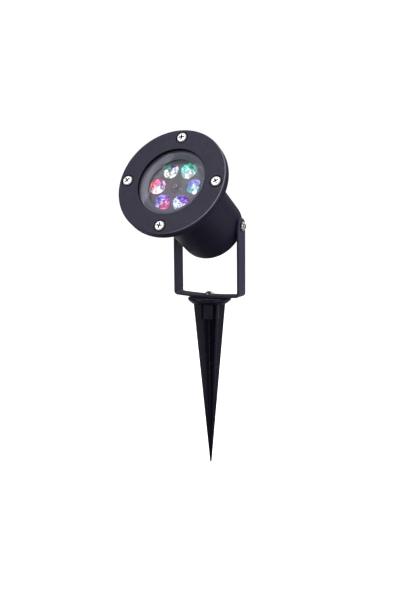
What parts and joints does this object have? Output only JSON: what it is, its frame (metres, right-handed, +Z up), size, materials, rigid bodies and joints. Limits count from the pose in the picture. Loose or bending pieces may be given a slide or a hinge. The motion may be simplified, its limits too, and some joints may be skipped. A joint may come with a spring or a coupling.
{
  "type": "light projector stake",
  "caption": "Outdoor light projector on a ground spike: a round lamp head with a turning crystal lens wheel tilts in a U bracket that swivels on a tapered four-fin spike.",
  "frame": {"origin": "on the spike's axis, in the plane where the lower rim of the spike's flange stops on the ground", "axes": "+Z up along the spike's axis; X along the tilt axis between the bracket's arms; the lamp faces -Y and up at rest"},
  "size_m": [0.11, 0.1505, 0.3424],
  "materials": {
    "spike_plastic": "moulded, semi-gloss",
    "insert_brass": "knurled",
    "bright_screw": "nickel plated",
    "washer_steel": "zinc plated",
    "stainless_screw": "polished",
    "bracket_paint": "satin powder coat",
    "housing_paint": "die-cast, black satin powder coat",
    "bezel_paint": "die-cast, black fine textured powder coat",
    "glass_clear": "clear, polished",
    "silicone_black": "matte",
    "rubber_black": "matte",
    "trim_grey": "satin",
    "wheel_plastic": "satin",
    "crystal": "faceted, polished",
    "shaft_steel": "ground",
    "zinc_screw": "zinc plated",
    "sink_aluminium": "as cast",
    "motor_case": "plated",
    "board_white": "solder mask",
    "led_yellow": "phosphor",
    "collimator_clear": "clear acrylic",
    "board_green": "solder mask",
    "component_black": "moulded",
    "lead_red": "insulation",
    "lead_yellow": "insulation",
    "lead_blue": "insulation",
    "gland_nylon": "moulded",
    "cable_jacket": "matte"
  },
  "bodies": {
    "spike": {"ground_spike": "spike_plastic", "threaded_insert": "insert_brass", "base_screw": "bright_screw", "base_flat_washer": "washer_steel"},
    "bracket": {"bracket": "bracket_paint"},
    "head": {"housing": "housing_paint", "front_bezel": "bezel_paint", "bezel_screws": "stainless_screw", "glass_lens": "glass_clear", "lens_gasket": "silicone_black", "flange_gasket": "rubber_black", "trim_ring": "trim_grey", "pivot_screws": "bright_screw", "pivot_spring_washers": "washer_steel", "pivot_rubber_washers": "rubber_black", "heat_sink": "sink_aluminium", "heat_sink_screws": "zinc_screw", "gear_motor": "motor_case", "motor_screws": "zinc_screw", "led_board": "board_white", "leds": "led_yellow", "led_collimators": "collimator_clear", "led_board_screws": "zinc_screw", "driver_board": "board_green", "driver_components": "component_black", "driver_board_screws": "zinc_screw", "led_leads": "lead_red", "motor_leads": "lead_yellow", "supply_leads": "lead_blue", "gland_body": "gland_nylon", "gland_seal": "rubber_black", "gland_nut": "gland_nylon", "gland_locknut": "gland_nylon", "power_cable": "cable_jacket", "cable_connector": "gland_nylon"},
    "wheel": {"lens_wheel": "wheel_plastic", "crystal_lenses": "crystal", "wheel_screw": "zinc_screw", "motor_shaft": "shaft_steel"}
  },
  "joints": [
    {"name": "bracket_swivel", "type": "hinge", "parent": "spike", "child": "bracket", "pos_m": [0, 0, 0.006], "axis": [0, 0, 1], "continuous": true},
    {"name": "head_tilt", "type": "hinge", "parent": "bracket", "child": "head", "pos_m": [0, 0, 0.079], "axis": [-1, 0, 0], "range_deg": [-75, 194]},
    {"name": "wheel_spin", "type": "hinge", "parent": "head", "child": "wheel", "pos_m": [0, -0.06924, 0.11946], "axis": [0, -0.8634, 0.5045], "continuous": true}
  ]
}
